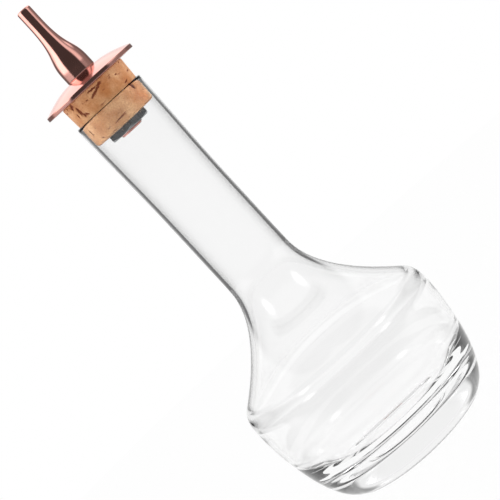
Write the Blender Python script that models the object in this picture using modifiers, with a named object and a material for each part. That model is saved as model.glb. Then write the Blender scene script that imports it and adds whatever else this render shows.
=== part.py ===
"""Dash bottle for bitters: a blown glass bottle, stopped by a cork that carries a pouring spout.

The bottle stands on its foot ring, which lies at height zero, and its axis is +Z.
The stopper is a stack on one threaded stem: the spout's shoulder presses a domed flange onto
the cork, and a hex nut on the stem holds the cork from below.
Every turned piece is an outline of (radius, height) points, spun about the axis.
"""
import math

import bmesh
import bpy
import numpy as np

MM = 0.001

# Clearances, cuts and counts
SEAT_GAP = 0.3 * MM
STEM_GAP = 0.3 * MM
CORK_GAP = 0.3 * MM
OVERRUN = 1.0 * MM
MERGE_DISTANCE = 0.01 * MM
BOTTLE_SIDES = 60
FLANGE_SIDES = 48
CORK_SIDES = 40
SPOUT_SIDES = 28
NUT_SIDES = 6

# Straight runs that each curve is drawn with
HEEL_STEPS = 11
CORNER_STEPS = 6
SWEEP_STEPS = 10
FLARE_STEPS = 6
BOWL_STEPS = 9
LIP_STEPS = 4
PUNT_STEPS = 6
DOME_STEPS = 8
BULB_STEPS = 9
TAPER_STEPS = 5
EDGE_STEPS = 3

# Finishes: linear red, green and blue, roughness, metallic, transmission
CLEAR_GLASS = ((0.93, 0.94, 0.94), 0.02, 0.0, 1.0)
NATURAL_CORK = ((0.56, 0.31, 0.15), 0.85, 0.0, 0.0)
COPPER_PLATE = ((0.86, 0.47, 0.36), 0.08, 1.0, 0.0)
STEEL = ((0.36, 0.37, 0.38), 0.3, 1.0, 0.0)

# Bottle, outside
LIP_HEIGHT = 129.7 * MM
BODY_RADIUS = 32.45 * MM
SIDE_TOP = 32.5 * MM
FOOT_RADIUS = 19.2 * MM
PUNT_RADIUS = 13.6 * MM
PUNT_DEPTH = 1.5 * MM
SHOULDER_RADIUS = 29.9 * MM
SHOULDER_HEIGHT = 39.9 * MM
SHOULDER_SLOPE = math.radians(39)
NECK_START = 68.0 * MM
NECK_WAIST_HEIGHT = 88.0 * MM
NECK_RADIUS = 10.85 * MM
LIP_RADIUS = 11.55 * MM
LIP_CROWN = 0.6 * MM

# Bottle, inside
SIDE_WALL = 1.4 * MM
SHOULDER_WALL = 1.8 * MM
NECK_WALL = 1.0 * MM
FLOOR_HEIGHT = 8.7 * MM
FLOOR_RADIUS = 11.5 * MM
BOWL_TOP = 20.5 * MM
INNER_CORNER_DROP = 3.0 * MM

# Handles of the bottle's curves, as shares of the run or rise that each curve spans
HEEL_SHARES = (0.84, 0.22)
CORNER_SHARES = (0.76, 0.2)
INNER_CORNER_SHARE = 0.45
SWEEP_SHARES = (0.57, 0.34)
FLARE_SHARES = (0.45, 0.30)
PUNT_SHARES = (0.1, 0.8, 0.5)
BOWL_SHARES = (0.6, 0.6)

# Cork
CORK_LENGTH = 13.8 * MM
CORK_SEAT_DEPTH = 7.3 * MM
CORK_TOP_RADIUS = 10.9 * MM
CORK_TOP_EDGE = 0.4 * MM
CORK_END_EDGE = 0.9 * MM

# Flange
FLANGE_RADIUS = 15.6 * MM
FLANGE_RIM = 1.25 * MM
FLANGE_HEIGHT = 3.9 * MM
FLANGE_LAND_RADIUS = 5.2 * MM
FLANGE_EDGE = 0.4 * MM
DOME_SHARES = (0.3, 0.3, 0.5)

# Spout
SPOUT_HEIGHT = 23.6 * MM
NOZZLE_RADIUS = 2.2 * MM
NOZZLE_BORE_RADIUS = 1.2 * MM
NOZZLE_LENGTH = 5.0 * MM
BULB_RADIUS = 4.7 * MM
BULB_LENGTH = 2.6 * MM
BULB_EDGE = 0.2 * MM
BULB_SHARES = (0.66, 0.40)
STEM_RADIUS = 3.75 * MM
STEM_BORE_RADIUS = 2.5 * MM
STEM_PROJECTION = 0.7 * MM
STEM_CHAMFER = 0.4 * MM
BORE_TAPER_START = 3.0 * MM
BORE_TAPER_END = 14.0 * MM

# Nut
NUT_ACROSS_FLATS = 12.5 * MM
NUT_HEIGHT = 1.8 * MM
NUT_CHAMFER_START = 6.0 * MM
NUT_CHAMFER_SLOPE = math.radians(30)
NUT_TURN = math.radians(31)


def bezier(start, leave, arrive, end, steps):
    """Points on a cubic curve, after its start and up to its end."""
    corners = np.array((start, leave, arrive, end), dtype=float)
    points = []
    for step in range(1, steps + 1):
        t = step / steps
        weights = np.array(((1 - t) ** 3, 3 * t * (1 - t) ** 2, 3 * t * t * (1 - t), t ** 3))
        points.append(tuple(weights @ corners))
    return points


def quarter(start, end, steps):
    """A quarter of an ellipse after its start: it leaves along the radius and arrives along the height."""
    run = end[0] - start[0]
    rise = end[1] - start[1]
    turns = [math.pi / 2 * step / steps for step in range(1, steps + 1)]
    return [(start[0] + run * math.sin(turn), end[1] - rise * math.cos(turn)) for turn in turns]


def upright_quarter(start, end, steps):
    """A quarter of an ellipse after its start: it leaves along the height and arrives along the radius."""
    run = end[0] - start[0]
    rise = end[1] - start[1]
    turns = [math.pi / 2 * step / steps for step in range(1, steps + 1)]
    return [(end[0] - run * math.cos(turn), start[1] + rise * math.sin(turn)) for turn in turns]


def heel():
    """Outside of the bottle from the foot ring, which it leaves level, up its swelling side."""
    run = BODY_RADIUS - FOOT_RADIUS
    leave = (FOOT_RADIUS + HEEL_SHARES[0] * run, 0)
    arrive = (BODY_RADIUS, SIDE_TOP - HEEL_SHARES[1] * SIDE_TOP)
    return bezier((FOOT_RADIUS, 0), leave, arrive, (BODY_RADIUS, SIDE_TOP), HEEL_STEPS)


def shoulder_corner():
    """The tight bend from the side to the sloping shoulder."""
    rise = SHOULDER_HEIGHT - SIDE_TOP
    leave = (BODY_RADIUS, SIDE_TOP + CORNER_SHARES[0] * rise)
    back = CORNER_SHARES[1] * rise
    end = (SHOULDER_RADIUS, SHOULDER_HEIGHT)
    arrive = (end[0] + back * math.cos(SHOULDER_SLOPE), end[1] - back * math.sin(SHOULDER_SLOPE))
    return bezier((BODY_RADIUS, SIDE_TOP), leave, arrive, end, CORNER_STEPS)


def shoulder_sweep():
    """The shoulder's hollow curve into the neck."""
    run = SHOULDER_RADIUS - NECK_RADIUS
    rise = NECK_START - SHOULDER_HEIGHT
    reach = SWEEP_SHARES[0] * run
    leave = (SHOULDER_RADIUS - reach, SHOULDER_HEIGHT + reach * math.tan(SHOULDER_SLOPE))
    arrive = (NECK_RADIUS, NECK_START - SWEEP_SHARES[1] * rise)
    return bezier((SHOULDER_RADIUS, SHOULDER_HEIGHT), leave, arrive, (NECK_RADIUS, NECK_START), SWEEP_STEPS)


def neck_flare():
    """The neck from its waist, widening to just under the lip."""
    top = (LIP_RADIUS, LIP_HEIGHT - LIP_CROWN)
    run = LIP_RADIUS - NECK_RADIUS
    rise = top[1] - NECK_WAIST_HEIGHT
    leave = (NECK_RADIUS, NECK_WAIST_HEIGHT + FLARE_SHARES[0] * rise)
    arrive = (top[0] - FLARE_SHARES[1] * run, top[1] - FLARE_SHARES[0] * rise)
    return bezier((NECK_RADIUS, NECK_WAIST_HEIGHT), leave, arrive, top, FLARE_STEPS)


def bottle_outside():
    """The outside from the foot ring to the lip, bottom to top."""
    body = [(FOOT_RADIUS, 0)] + heel() + shoulder_corner()
    return body + shoulder_sweep() + [(NECK_RADIUS, NECK_WAIST_HEIGHT)] + neck_flare()


def wall_at(height):
    """Thickness of the blown wall: a little more on the shoulder than on the side, least on the neck."""
    heights = (SIDE_TOP, SHOULDER_HEIGHT, NECK_START)
    return float(np.interp(height, heights, (SIDE_WALL, SHOULDER_WALL, NECK_WALL)))


def moved_in(outside):
    """Points of the outside, each moved in by the wall there along its own normal."""
    points = np.array(outside)
    runs = np.diff(points, axis=0)
    runs /= np.linalg.norm(runs, axis=1)[:, None]
    tangents = np.vstack((runs[:1], runs[:-1] + runs[1:], runs[-1:]))
    tangents /= np.linalg.norm(tangents, axis=1)[:, None]
    inward = np.column_stack((-tangents[:, 1], tangents[:, 0]))
    walls = np.array([wall_at(height) for height in points[:, 1]])
    return [tuple(point) for point in points + inward * walls[:, None]]


def inner_corner(side, upper):
    """The bend inside the shoulder: it runs on from the side and comes smoothly into the slope."""
    start, end = np.array(side[-1]), np.array(upper[0])
    leaving = start - np.array(side[-2])
    arriving = np.array(upper[1]) - end
    reach = INNER_CORNER_SHARE * np.linalg.norm(end - start)
    leave = start + leaving * reach / np.linalg.norm(leaving)
    arrive = end - arriving * reach / np.linalg.norm(arriving)
    return bezier(start, leave, arrive, end, CORNER_STEPS)[:-1]


def bottle_inside():
    """The inside from the bowl's top to the lip: side, corner, shoulder and neck."""
    corner_start = SIDE_TOP - INNER_CORNER_DROP
    side = [point for point in moved_in(heel()) if BOWL_TOP < point[1] < corner_start]
    neck = [(NECK_RADIUS, NECK_WAIST_HEIGHT)] + neck_flare()
    upper = moved_in(shoulder_sweep() + neck)
    return side + inner_corner(side, upper) + upper


def bowl():
    """The inside of the thick base: a level floor that curves up into the side wall."""
    radii, heights = zip(*bottle_inside())
    edge = (FLOOR_RADIUS, FLOOR_HEIGHT)
    side = (float(np.interp(BOWL_TOP, heights, radii)), BOWL_TOP)
    leave = (edge[0] + BOWL_SHARES[0] * (side[0] - edge[0]), FLOOR_HEIGHT)
    arrive = (side[0], BOWL_TOP - BOWL_SHARES[1] * (BOWL_TOP - FLOOR_HEIGHT))
    return [(0, FLOOR_HEIGHT), edge] + bezier(edge, leave, arrive, side, BOWL_STEPS)


def bore_radius(height):
    """Inside radius of the neck at a height."""
    radii, heights = zip(*bottle_inside())
    return float(np.interp(height, heights, radii))


def lip():
    """The fire-polished rim, rounded over from the bore to the outside."""
    wall = NECK_WALL / 2
    inner = (LIP_RADIUS - NECK_WALL, LIP_HEIGHT - LIP_CROWN)
    crown = (LIP_RADIUS - wall, LIP_HEIGHT)
    outer = (LIP_RADIUS, LIP_HEIGHT - LIP_CROWN)
    return upright_quarter(inner, crown, LIP_STEPS) + quarter(crown, outer, LIP_STEPS)[:-1]


def punt():
    """The hollow under the base, from the foot ring in to the axis."""
    run = PUNT_RADIUS
    leave = (PUNT_RADIUS - PUNT_SHARES[0] * run, PUNT_SHARES[1] * PUNT_DEPTH)
    arrive = (PUNT_SHARES[2] * run, PUNT_DEPTH)
    return [(PUNT_RADIUS, 0)] + bezier((PUNT_RADIUS, 0), leave, arrive, (0, PUNT_DEPTH), PUNT_STEPS)


def bottle_outline():
    """One run: up the inside from the floor, over the lip, down the outside and in under the base."""
    return bowl() + bottle_inside() + lip() + bottle_outside()[::-1] + punt()


def cork_outline():
    """A cork that tapers in the open and is squeezed to the bore where it is seated."""
    hole = STEM_RADIUS + STEM_GAP
    lip_radius = bore_radius(LIP_HEIGHT) - CORK_GAP
    end_radius = bore_radius(LIP_HEIGHT - CORK_SEAT_DEPTH) - CORK_GAP
    top = (CORK_TOP_RADIUS - CORK_TOP_EDGE, CORK_LENGTH)
    end_edge = (end_radius, CORK_END_EDGE)
    outline = [(hole, CORK_LENGTH), top]
    outline += quarter(top, (CORK_TOP_RADIUS, CORK_LENGTH - CORK_TOP_EDGE), EDGE_STEPS)
    outline += [(lip_radius, CORK_SEAT_DEPTH), end_edge]
    outline += upright_quarter(end_edge, (end_radius - CORK_END_EDGE, 0), EDGE_STEPS)
    return outline + [(hole, 0)]


def flange_outline():
    """A turned disc, flat below, with a land for the spout's shoulder and a dome down to a thin rim."""
    hole = STEM_RADIUS + STEM_GAP
    dome_end = (FLANGE_RADIUS - FLANGE_EDGE, FLANGE_RIM)
    run = dome_end[0] - FLANGE_LAND_RADIUS
    rise = FLANGE_HEIGHT - FLANGE_RIM
    land = (FLANGE_LAND_RADIUS, FLANGE_HEIGHT)
    leave = (land[0] + DOME_SHARES[0] * run, land[1])
    arrive = (dome_end[0] - DOME_SHARES[1] * run, dome_end[1] + DOME_SHARES[2] * rise)
    outline = [(hole, FLANGE_HEIGHT), land]
    outline += bezier(land, leave, arrive, dome_end, DOME_STEPS)
    outline += quarter(dome_end, (FLANGE_RADIUS, FLANGE_RIM - FLANGE_EDGE), EDGE_STEPS)
    lower = (FLANGE_RADIUS, FLANGE_EDGE)
    outline += [lower] + upright_quarter(lower, (FLANGE_RADIUS - FLANGE_EDGE, 0), EDGE_STEPS)
    return outline + [(hole, 0)]


def stem_length():
    """From the spout's shoulder down through flange, cork and nut to the stem's end."""
    stack = FLANGE_HEIGHT + CORK_LENGTH + NUT_HEIGHT + 3 * SEAT_GAP
    return stack + STEM_PROJECTION


def spout_outline():
    """The turned spout: nozzle, flaring bulb and hollow stem, with the bore up its middle."""
    tip_round = (NOZZLE_RADIUS - NOZZLE_BORE_RADIUS) / 2
    tip = (NOZZLE_RADIUS - tip_round, SPOUT_HEIGHT)
    tip_outer = (NOZZLE_RADIUS, SPOUT_HEIGHT - tip_round)
    tip_inner = (NOZZLE_BORE_RADIUS, SPOUT_HEIGHT - tip_round)
    flare_top = (NOZZLE_RADIUS, SPOUT_HEIGHT - NOZZLE_LENGTH)
    bulb_top = (BULB_RADIUS, BULB_LENGTH)
    rise = flare_top[1] - bulb_top[1]
    leave = (flare_top[0], flare_top[1] - BULB_SHARES[0] * rise)
    arrive = (bulb_top[0], bulb_top[1] + BULB_SHARES[1] * rise)
    bulb_edge = (BULB_RADIUS, BULB_EDGE)
    stem_end = -stem_length()
    outline = upright_quarter(tip_inner, tip, EDGE_STEPS) + quarter(tip, tip_outer, EDGE_STEPS)
    outline += [flare_top] + bezier(flare_top, leave, arrive, bulb_top, BULB_STEPS) + [bulb_edge]
    outline += upright_quarter(bulb_edge, (BULB_RADIUS - BULB_EDGE, 0), EDGE_STEPS)
    outline += [(STEM_RADIUS, 0), (STEM_RADIUS, stem_end + STEM_CHAMFER)]
    outline += [(STEM_RADIUS - STEM_CHAMFER, stem_end), (STEM_BORE_RADIUS, stem_end)]
    taper_start = (STEM_BORE_RADIUS, BORE_TAPER_START)
    taper_end = (NOZZLE_BORE_RADIUS, BORE_TAPER_END)
    middle = (BORE_TAPER_START + BORE_TAPER_END) / 2
    outline += [taper_start]
    leave = (STEM_BORE_RADIUS, middle)
    arrive = (NOZZLE_BORE_RADIUS, middle)
    outline += bezier(taper_start, leave, arrive, taper_end, TAPER_STEPS)
    return outline + [tip_inner]


def nut_blank_outline():
    """The ring that a hexagonal bar is turned to: bored through, and coned at both ends."""
    hole = STEM_RADIUS + STEM_GAP
    reach = NUT_ACROSS_FLATS / 2 + OVERRUN
    drop = (reach - NUT_CHAMFER_START) * math.tan(NUT_CHAMFER_SLOPE)
    return [(hole, NUT_HEIGHT), (NUT_CHAMFER_START, NUT_HEIGHT), (reach, NUT_HEIGHT - drop),
            (reach, drop), (NUT_CHAMFER_START, 0), (hole, 0)]


def material(name, finish):
    """A Principled material of the piece's own finish."""
    colour, roughness, metallic, transmission = finish
    made = bpy.data.materials.new(name)
    made.use_nodes = True
    shader = made.node_tree.nodes["Principled BSDF"]
    shader.inputs["Base Color"].default_value = (*colour, 1.0)
    shader.inputs["Roughness"].default_value = roughness
    shader.inputs["Metallic"].default_value = metallic
    shader.inputs["Transmission Weight"].default_value = transmission
    made.diffuse_color = (*colour, 1.0)
    return made


def turned(name, outline, sides, collection, closed):
    """An outline spun about the object's Z axis; a closed outline leaves a hole along the axis."""
    mesh = bpy.data.meshes.new(name)
    edges = [(index, index + 1) for index in range(len(outline) - 1)]
    if closed:
        edges.append((len(outline) - 1, 0))
    mesh.from_pydata([(radius, 0, height) for radius, height in outline], edges, [])
    piece = bpy.data.objects.new(name, mesh)
    collection.objects.link(piece)
    spin = piece.modifiers.new("Spin", "SCREW")
    spin.axis = "Z"
    spin.angle = 2 * math.pi
    spin.steps = sides
    spin.render_steps = sides
    spin.use_merge_vertices = True
    spin.merge_threshold = MERGE_DISTANCE
    spin.use_smooth_shade = True
    return piece


def glass_bottle(collection):
    piece = turned("glass_bottle", bottle_outline(), BOTTLE_SIDES, collection, closed=False)
    piece.data.materials.append(material("clear_glass", CLEAR_GLASS))
    return piece


def cork_stopper(collection, stack):
    piece = turned("cork_stopper", cork_outline(), CORK_SIDES, collection, closed=True)
    piece.data.materials.append(material("natural_cork", NATURAL_CORK))
    piece.parent = stack
    piece.location.z = -CORK_SEAT_DEPTH
    return piece


def domed_flange(collection, cork):
    piece = turned("domed_flange", flange_outline(), FLANGE_SIDES, collection, closed=True)
    piece.data.materials.append(material("copper_plate_flange", COPPER_PLATE))
    piece.parent = cork
    piece.location.z = CORK_LENGTH + SEAT_GAP
    return piece


def dash_spout(collection, flange):
    piece = turned("dash_spout", spout_outline(), SPOUT_SIDES, collection, closed=True)
    piece.data.materials.append(material("copper_plate_spout", COPPER_PLATE))
    piece.parent = flange
    piece.location.z = FLANGE_HEIGHT + SEAT_GAP
    return piece


def hex_nut(collection, cutters, cork):
    """A slice of hexagonal bar, cut to the ring that its bore and its two chamfers are turned to."""
    mesh = bpy.data.meshes.new("hex_nut")
    bar = bmesh.new()
    corner_radius = NUT_ACROSS_FLATS / 2 / math.cos(math.pi / NUT_SIDES)
    bmesh.ops.create_cone(bar, cap_ends=True, segments=NUT_SIDES, radius1=corner_radius,
                          radius2=corner_radius, depth=NUT_HEIGHT + 2 * OVERRUN)
    bmesh.ops.translate(bar, verts=bar.verts, vec=(0, 0, NUT_HEIGHT / 2))
    bar.to_mesh(mesh)
    bar.free()
    piece = bpy.data.objects.new("hex_nut", mesh)
    collection.objects.link(piece)
    piece.data.materials.append(material("steel_nut", STEEL))
    piece.parent = cork
    piece.location.z = -SEAT_GAP - NUT_HEIGHT
    piece.rotation_euler.z = NUT_TURN
    blank = turned("nut_blank", nut_blank_outline(), CORK_SIDES, cutters, closed=True)
    blank.parent = piece
    blank.hide_render = True
    blank.display_type = "WIRE"
    cut = piece.modifiers.new("Turn the blank", "BOOLEAN")
    cut.operation = "INTERSECT"
    cut.solver = "EXACT"
    cut.object = blank
    return piece


def new_collection(name):
    collection = bpy.data.collections.new(name)
    bpy.context.scene.collection.children.link(collection)
    return collection


def main():
    for old in list(bpy.data.objects):
        bpy.data.objects.remove(old, do_unlink=True)
    bottle_parts = new_collection("dash_bottle")
    cutters = new_collection("cutters")
    glass_bottle(bottle_parts)
    stack = bpy.data.objects.new("stopper_axis", None)
    stack.empty_display_size = CORK_LENGTH
    stack.location.z = LIP_HEIGHT
    bottle_parts.objects.link(stack)
    cork = cork_stopper(bottle_parts, stack)
    flange = domed_flange(bottle_parts, cork)
    dash_spout(bottle_parts, flange)
    hex_nut(bottle_parts, cutters, cork)


main()
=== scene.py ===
# %% [markdown]
# # Dressing a dash bottle for bitters
# A dash bottle gives a few drops at a time. This one is blown glass with a long neck, and a cork
# carries a copper pouring spout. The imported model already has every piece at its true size, so this
# lesson keeps that model as a fixed frame and makes a finer piece over each coarse one.
# Whatever is turned on a lathe or blown in the round is one outline spun about the upright axis.

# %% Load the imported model
import math

import bmesh
import bpy
import numpy as np
from mathutils import Matrix, Vector, noise


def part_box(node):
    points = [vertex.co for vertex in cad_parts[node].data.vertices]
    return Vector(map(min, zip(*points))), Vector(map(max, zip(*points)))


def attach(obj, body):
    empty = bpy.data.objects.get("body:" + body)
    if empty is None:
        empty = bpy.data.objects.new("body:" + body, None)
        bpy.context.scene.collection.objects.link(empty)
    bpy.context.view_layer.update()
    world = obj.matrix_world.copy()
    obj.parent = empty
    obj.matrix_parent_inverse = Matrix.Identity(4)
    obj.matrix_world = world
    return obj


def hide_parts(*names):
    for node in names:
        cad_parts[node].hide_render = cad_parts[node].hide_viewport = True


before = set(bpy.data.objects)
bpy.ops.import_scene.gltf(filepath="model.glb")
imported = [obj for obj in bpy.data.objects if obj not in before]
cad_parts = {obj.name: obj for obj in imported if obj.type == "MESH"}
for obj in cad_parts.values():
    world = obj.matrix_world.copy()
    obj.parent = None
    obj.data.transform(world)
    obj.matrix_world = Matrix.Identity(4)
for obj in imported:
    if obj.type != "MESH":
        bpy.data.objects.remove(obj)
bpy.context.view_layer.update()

MM = 0.001

# %% [markdown]
# ## Curves for outlines
# An outline is a list of (radius, height) points. Long swelling lines come from a cubic curve, and
# small rounded edges from a quarter of an ellipse. Fine steps matter more here than in the packed
# model, because polished metal and clear glass show every facet as a kink in a reflection.


# %% Curves
def bezier(start, leave, arrive, end, steps=24):
    """Points on a cubic curve, after its start and up to its end."""
    corners = np.array((start, leave, arrive, end), dtype=float)
    t = np.arange(1, steps + 1)[:, None] / steps
    weights = np.hstack(((1 - t) ** 3, 3 * t * (1 - t) ** 2, 3 * t * t * (1 - t), t ** 3))
    return [tuple(point) for point in weights @ corners]


def quarter(start, end, steps=8):
    """A quarter of an ellipse after its start: it leaves along the radius."""
    run, rise = end[0] - start[0], end[1] - start[1]
    turns = [math.pi / 2 * step / steps for step in range(1, steps + 1)]
    return [(start[0] + run * math.sin(turn), end[1] - rise * math.cos(turn)) for turn in turns]


def upright_quarter(start, end, steps=8):
    """A quarter of an ellipse after its start: it leaves along the height."""
    run, rise = end[0] - start[0], end[1] - start[1]
    turns = [math.pi / 2 * step / steps for step in range(1, steps + 1)]
    return [(end[0] - run * math.cos(turn), start[1] + rise * math.sin(turn)) for turn in turns]


def stretch(start, end, steps):
    """Evenly spaced points after the start of a straight run."""
    shares = np.arange(1, steps + 1)[:, None] / steps
    return [tuple(point) for point in np.array(start) + shares * (np.array(end) - np.array(start))]


print("halfway round a quarter of a circle:", np.round(quarter((0, 0), (1, 1), 2)[0], 2))

# %% [markdown]
# ## Spinning an outline
# Blender's Screw modifier spins an outline too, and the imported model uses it. Here the mesh is
# written by hand, because a thread, a pit in cork or a corner of a nut has to move points that
# depend on the turn as well as on the height. A shaping function gets all the points as arrays
# and gives the radii back.

# %% Spin
MERGE_DISTANCE = 0.0001 * MM
MILLILITRE = 1000 * MM ** 3


def spin(name, outline, sides, closed, shape=None):
    """A closed mesh: the outline spun about Z. A closed outline is a ring with a hole."""
    points = np.array(outline, dtype=float)
    turns = np.linspace(0, 2 * math.pi, sides, endpoint=False)
    radius, turn = np.meshgrid(points[:, 0], turns, indexing="ij")
    height = np.repeat(points[:, 1:], sides, axis=1)
    if shape:
        radius = shape(radius, height, turn)
    places = np.stack((radius * np.cos(turn), radius * np.sin(turn), height), axis=-1)
    mesh = bpy.data.meshes.new(name)
    corners = np.arange(len(points) * sides).reshape(len(points), sides)
    lower = corners if closed else corners[:-1]
    upper = np.roll(corners, -1, axis=0) if closed else corners[1:]
    quads = np.stack((lower, np.roll(lower, -1, axis=1), np.roll(upper, -1, axis=1), upper), axis=-1)
    mesh.from_pydata(places.reshape(-1, 3).tolist(), [], quads.reshape(-1, 4).tolist())
    form = bmesh.new()
    form.from_mesh(mesh)
    bmesh.ops.remove_doubles(form, verts=form.verts, dist=MERGE_DISTANCE)
    bmesh.ops.recalc_face_normals(form, faces=form.faces)
    if form.calc_volume(signed=True) < 0:
        bmesh.ops.reverse_faces(form, faces=form.faces)
    volume = form.calc_volume()
    form.to_mesh(mesh)
    form.free()
    mesh.shade_smooth()
    piece = bpy.data.objects.new(name, mesh)
    bpy.context.scene.collection.objects.link(piece)
    print(name, len(mesh.vertices), "points,", round(volume / MILLILITRE, 2), "millilitres")
    return piece


def dress(piece, finish, body, node):
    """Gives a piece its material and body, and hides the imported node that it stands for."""
    piece.data.materials.clear()
    piece.data.materials.append(finish)
    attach(piece, body)
    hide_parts(node)
    print("dressed", piece.name, "in", finish.name)


print("points closer than", MERGE_DISTANCE / MM, "mm become one")


# %% [markdown]
# ## Colours and nodes
# A colour picked by eye is an sRGB hex value, but a shader reckons in linear light, so one
# function turns one into the other. One more function adds a node, sets its settings and links
# what comes into it. Every material below is written with these two. A socket goes by its name,
# or by its number where several sockets share a name.


# %% Colour and node helpers
def linear(code):
    """A linear colour from an sRGB hex value such as '#c08a5e'."""
    shares = [int(code[place:place + 2], 16) / 255 for place in (1, 3, 5)]
    return (*[s / 12.92 if s <= 0.04045 else ((s + 0.055) / 1.055) ** 2.4 for s in shares], 1.0)


def add(tree, kind, inputs=None, **settings):
    """Adds a node. A socket among its inputs is linked, and any other value is set."""
    node = tree.nodes.new(kind)
    for name, value in settings.items():
        setattr(node, name, value)
    for name, value in (inputs or {}).items():
        if isinstance(value, bpy.types.NodeSocket):
            tree.links.new(value, node.inputs[name])
        else:
            node.inputs[name].default_value = value
    return node


def blank_material(name):
    """A material without nodes, and its tree."""
    made = bpy.data.materials.new(name)
    made.use_nodes = True
    made.node_tree.nodes.clear()
    return made, made.node_tree


print("a mid grey in linear light:", [round(share, 3) for share in linear("#808080")[:3]])

# %% [markdown]
# ## The camera
# The photograph shows the bottle slanted on white, with its top to the upper left. A camera was
# fitted to its ellipses: it stands a little over half a metre away, at the height of the cork,
# and looks slightly down. The slant is a roll about the camera's own axis, so the bottle itself
# stands upright and can be turned and viewed like any other part.

# %% Camera
CAMERA_DISTANCE = 560 * MM
CAMERA_HEIGHT = 133 * MM
AIM_HEIGHT = 72.7 * MM
CAMERA_SIDE = 1.2 * MM
CAMERA_SENSOR = 36
CAMERA_LENS = 144.8
CAMERA_ROLL = math.radians(-42.7)
CLIP_START = 10 * MM

camera_data = bpy.data.cameras.new("camera")
camera_data.sensor_width = CAMERA_SENSOR
camera_data.lens = CAMERA_LENS
camera_data.clip_start = CLIP_START
camera = bpy.data.objects.new("camera", camera_data)
bpy.context.scene.collection.objects.link(camera)
pitch = math.atan2(CAMERA_HEIGHT - AIM_HEIGHT, CAMERA_DISTANCE)
camera.matrix_world = (
    Matrix.Translation((CAMERA_SIDE, -CAMERA_DISTANCE, CAMERA_HEIGHT))
    @ Matrix.Rotation(math.pi / 2 - pitch, 4, "X")
    @ Matrix.Rotation(CAMERA_ROLL, 4, "Z")
)
bpy.context.scene.camera = camera
print("the camera looks down by", round(math.degrees(pitch), 1), "degrees")

# %% [markdown]
# ## The glass bottle
# The bottle is blown soda-lime glass: thin at the neck, thicker on the shoulder, and with a heavy
# base that has a shallow hollow under it. What the eye reads as glass is mostly the wall, so the
# inside is as important as the outside. The outline goes up the inside from the floor, over the
# fire-polished lip, down the outside and in under the base. Two separate shells, one in the other,
# would look wrong, since light must pass from air to glass and back at each face.
#
# The sizes named shares say how far the two handles of a cubic curve reach.

# %% Sizes of the outside
bottle_low, bottle_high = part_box("glass_bottle")
LIP_HEIGHT = bottle_high.z
BODY_RADIUS = bottle_high.x
SIDE_TOP = 32.5 * MM
FOOT_RADIUS = 19.2 * MM
SHOULDER_RADIUS = 29.9 * MM
SHOULDER_HEIGHT = 39.9 * MM
SHOULDER_SLOPE = math.radians(39)
NECK_START = 68.0 * MM
NECK_WAIST_HEIGHT = 88.0 * MM
NECK_RADIUS = 10.85 * MM
LIP_RADIUS = 11.55 * MM
LIP_CROWN = 0.35 * MM
HEEL_SHARES = (0.84, 0.22)
CORNER_SHARES = (0.76, 0.2)
SWEEP_SHARES = (0.57, 0.34)
FLARE_SHARES = (0.45, 0.30)
HEEL_STEPS = 48
SWEEP_STEPS = 40
NECK_STEPS = 8
print("the glass measures", [round(side / MM, 1) for side in bottle_high - bottle_low], "mm")


# %% Outside of the bottle
def heel():
    """The swelling side, from the level foot ring up."""
    leave = (FOOT_RADIUS + HEEL_SHARES[0] * (BODY_RADIUS - FOOT_RADIUS), 0)
    arrive = (BODY_RADIUS, SIDE_TOP - HEEL_SHARES[1] * SIDE_TOP)
    return bezier((FOOT_RADIUS, 0), leave, arrive, (BODY_RADIUS, SIDE_TOP), HEEL_STEPS)


def shoulder_corner():
    """The bend from the side to the sloping shoulder."""
    rise = SHOULDER_HEIGHT - SIDE_TOP
    leave = (BODY_RADIUS, SIDE_TOP + CORNER_SHARES[0] * rise)
    back = CORNER_SHARES[1] * rise
    end = (SHOULDER_RADIUS, SHOULDER_HEIGHT)
    arrive = (end[0] + back * math.cos(SHOULDER_SLOPE), end[1] - back * math.sin(SHOULDER_SLOPE))
    return bezier((BODY_RADIUS, SIDE_TOP), leave, arrive, end)


def shoulder_sweep():
    """The hollow curve of the shoulder into the neck."""
    start, end = (SHOULDER_RADIUS, SHOULDER_HEIGHT), (NECK_RADIUS, NECK_START)
    reach = SWEEP_SHARES[0] * (SHOULDER_RADIUS - NECK_RADIUS)
    leave = (SHOULDER_RADIUS - reach, SHOULDER_HEIGHT + reach * math.tan(SHOULDER_SLOPE))
    arrive = (NECK_RADIUS, NECK_START - SWEEP_SHARES[1] * (NECK_START - SHOULDER_HEIGHT))
    return bezier(start, leave, arrive, end, SWEEP_STEPS)


def neck():
    """The straight neck, and its flare from the waist to just under the lip."""
    waist = (NECK_RADIUS, NECK_WAIST_HEIGHT)
    top = (LIP_RADIUS, LIP_HEIGHT - LIP_CROWN)
    rise = top[1] - waist[1]
    leave = (waist[0], waist[1] + FLARE_SHARES[0] * rise)
    arrive = (top[0] - FLARE_SHARES[1] * (top[0] - waist[0]), top[1] - FLARE_SHARES[0] * rise)
    return stretch((NECK_RADIUS, NECK_START), waist, NECK_STEPS) + bezier(waist, leave, arrive, top)


bottle_outside = [(FOOT_RADIUS, 0)] + heel() + shoulder_corner() + shoulder_sweep() + neck()
print("outside of the bottle:", len(bottle_outside), "points")

# %% [markdown]
# The wall is measured square to the glass. So the inside is the outside moved in along its own
# normals, by a wall that changes with the height. Only the bend inside the shoulder is drawn anew:
# moved in, its tight curve would fold over itself.

# %% Inside wall
SIDE_WALL = 1.4 * MM
SHOULDER_WALL = 1.8 * MM
NECK_WALL = 1.0 * MM
INNER_CORNER_DROP = 3.0 * MM
INNER_CORNER_SHARE = 0.45
BOWL_TOP = 20.5 * MM


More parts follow.
